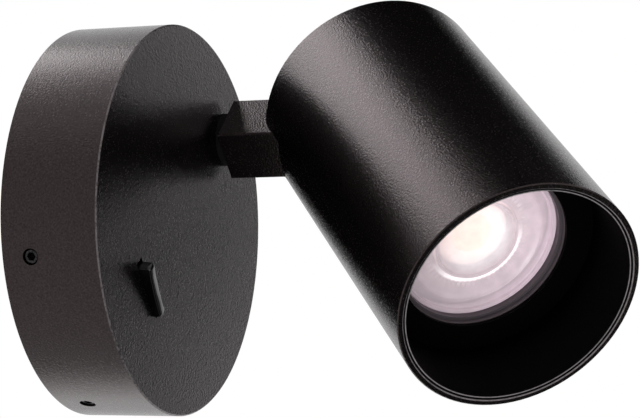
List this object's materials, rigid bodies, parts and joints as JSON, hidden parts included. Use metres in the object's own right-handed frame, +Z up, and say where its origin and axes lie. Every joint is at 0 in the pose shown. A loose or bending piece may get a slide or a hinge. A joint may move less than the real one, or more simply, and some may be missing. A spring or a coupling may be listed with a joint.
{
  "type": "pivoting spotlight wall light",
  "caption": "Wall spotlight with a round base, a rocker switch in its face, a swivelling square arm and a tilting tube head that holds a twist-lock lamp behind a glare baffle.",
  "frame": {"origin": "centre of the base on the wall plane", "axes": "+Z up, +Y into the wall, so the light stands out towards -Y"},
  "size_m": [0.1, 0.1446, 0.1163],
  "materials": {
    "black_coat": "satin textured powder coat",
    "matte_black": "matt",
    "zinc_steel": "bright zinc plate",
    "dark_steel": "blackened",
    "brass": "satin",
    "grey_rubber": "matt",
    "white_plastic": "satin",
    "black_plastic": "satin",
    "gloss_black": "gloss",
    "nylon": "natural",
    "cable_sheath": "matt",
    "ceramic": "glazed",
    "clear_lens": "clear moulded",
    "phosphor": "diffuse"
  },
  "bodies": {
    "base": {"canopy_housing": "black_coat", "mounting_plate": "zinc_steel", "cable_grommet": "grey_rubber", "terminal_block": "white_plastic", "terminal_tubes": "brass", "terminal_screws": "brass", "block_screws": "zinc_steel", "earth_screw": "zinc_steel", "earth_washer": "brass", "grub_screws": "dark_steel", "switch_body": "black_plastic", "switch_screws": "zinc_steel", "switch_tags": "brass"},
    "rocker": {"switch_rocker": "gloss_black"},
    "arm": {"arm_bar": "black_coat", "arm_face_washer": "nylon", "arm_slide_washer": "nylon", "arm_stop_washer": "zinc_steel", "arm_spring_washer": "zinc_steel", "arm_nut": "zinc_steel", "arm_stud": "zinc_steel", "arm_cable": "cable_sheath"},
    "head": {"head_tube": "black_coat", "rear_cap": "black_coat", "glare_baffle": "matte_black", "pivot_bracket": "zinc_steel", "pivot_bolt": "zinc_steel", "friction_washers": "nylon", "pivot_spring_washer": "zinc_steel", "pivot_nut": "zinc_steel", "holder_bracket": "zinc_steel", "bracket_screws": "zinc_steel", "holder_screws": "zinc_steel", "lampholder": "ceramic", "holder_contacts": "brass"},
    "lamp": {"lamp_body": "white_plastic", "lamp_lens": "clear_lens", "light_source": "phosphor", "lamp_base": "white_plastic", "lamp_pins": "brass"}
  },
  "joints": [
    {"name": "arm_swivel", "type": "hinge", "parent": "base", "child": "arm", "pos_m": [0, -0.0254, 0.0352], "axis": [0, -1, 0], "range_deg": [-162, 157]},
    {"name": "head_tilt", "type": "hinge", "parent": "arm", "child": "head", "pos_m": [0, -0.0571, 0.0352], "axis": [0.9992, 0, 0.0401], "range_deg": [-54, 18]},
    {"name": "switch_rock", "type": "hinge", "parent": "base", "child": "rocker", "pos_m": [0, -0.0218, -0.0275], "axis": [0, 0, 1], "range_deg": [-12, 0]},
    {"name": "lamp_twist", "type": "hinge", "parent": "head", "child": "lamp", "pos_m": [-0.00054, -0.06418, 0.04865], "axis": [0.0326, -0.5835, -0.8114], "range_deg": [0, 22]}
  ]
}
